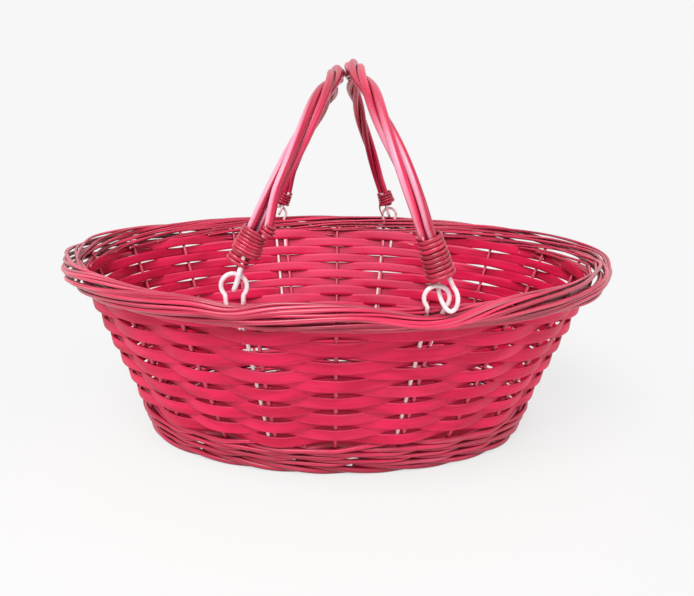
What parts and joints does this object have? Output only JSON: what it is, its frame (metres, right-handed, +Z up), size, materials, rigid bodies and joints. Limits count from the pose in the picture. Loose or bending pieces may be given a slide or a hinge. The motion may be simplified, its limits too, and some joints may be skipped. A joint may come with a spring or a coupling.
{
  "type": "oval gift basket with swing handles",
  "caption": "Oval gift basket woven from dyed wood strips over willow stakes, with a rod border, a waled foot and twisted bail handles that hinge on wire eyes and fold outwards.",
  "frame": {"origin": "on the table, under the middle of the oval", "axes": "+X along the oval, -Y the front face seen in the picture, +Z up"},
  "size_m": [0.4196, 0.3296, 0.296],
  "materials": {
    "willow_rod": "satin dye lacquer",
    "wood_strip": "satin dye lacquer",
    "handle_rod": "glossy dye lacquer",
    "binding_cane": "satin dye lacquer",
    "eye_wire": "pale pink plastic coating"
  },
  "bodies": {
    "basket": {"strip_row_01": "wood_strip", "strip_row_02": "wood_strip", "strip_row_03": "wood_strip", "strip_row_04": "wood_strip", "strip_row_05": "wood_strip", "strip_row_06": "wood_strip", "strip_row_07": "wood_strip", "strip_row_08": "wood_strip", "strip_row_09": "wood_strip", "strip_row_10": "wood_strip", "strip_row_11": "wood_strip", "strip_row_12": "wood_strip", "strip_row_13": "wood_strip", "strip_row_14": "wood_strip", "stake_01": "willow_rod", "stake_02": "willow_rod", "stake_03": "willow_rod", "stake_04": "willow_rod", "stake_05": "willow_rod", "stake_06": "willow_rod", "stake_07": "willow_rod", "stake_08": "willow_rod", "stake_09": "willow_rod", "stake_10": "willow_rod", "stake_11": "willow_rod", "stake_12": "willow_rod", "stake_13": "willow_rod", "stake_14": "willow_rod", "stake_15": "willow_rod", "stake_16": "willow_rod", "stake_17": "willow_rod", "stake_18": "willow_rod", "stake_19": "willow_rod", "stake_20": "willow_rod", "border_rod_1": "willow_rod", "border_rod_2": "willow_rod", "border_rod_3": "willow_rod", "border_rod_4": "willow_rod", "border_rod_5": "willow_rod", "wale": "willow_rod", "foot_border": "willow_rod", "base_mat": "wood_strip", "rim_eye_front_left": "eye_wire", "rim_eye_front_right": "eye_wire", "rim_eye_back_right": "eye_wire", "rim_eye_back_left": "eye_wire"},
    "left_handle": {"left_handle_rod_1": "handle_rod", "left_handle_rod_2": "handle_rod", "left_handle_rod_3": "handle_rod", "handle_eye_front_left": "eye_wire", "handle_eye_back_left": "eye_wire", "binding_front_left": "binding_cane", "binding_back_left": "binding_cane"},
    "right_handle": {"right_handle_rod_1": "handle_rod", "right_handle_rod_2": "handle_rod", "right_handle_rod_3": "handle_rod", "handle_eye_front_right": "eye_wire", "handle_eye_back_right": "eye_wire", "binding_front_right": "binding_cane", "binding_back_right": "binding_cane"}
  },
  "joints": [
    {"name": "left_hinge", "type": "hinge", "parent": "basket", "child": "left_handle", "pos_m": [-0.06126, 0, 0.1588], "axis": [0, -1, 0], "range_deg": [0, 83]},
    {"name": "right_hinge", "type": "hinge", "parent": "basket", "child": "right_handle", "pos_m": [0.0547, 0, 0.1588], "axis": [0, 1, 0], "range_deg": [0, 79]}
  ]
}
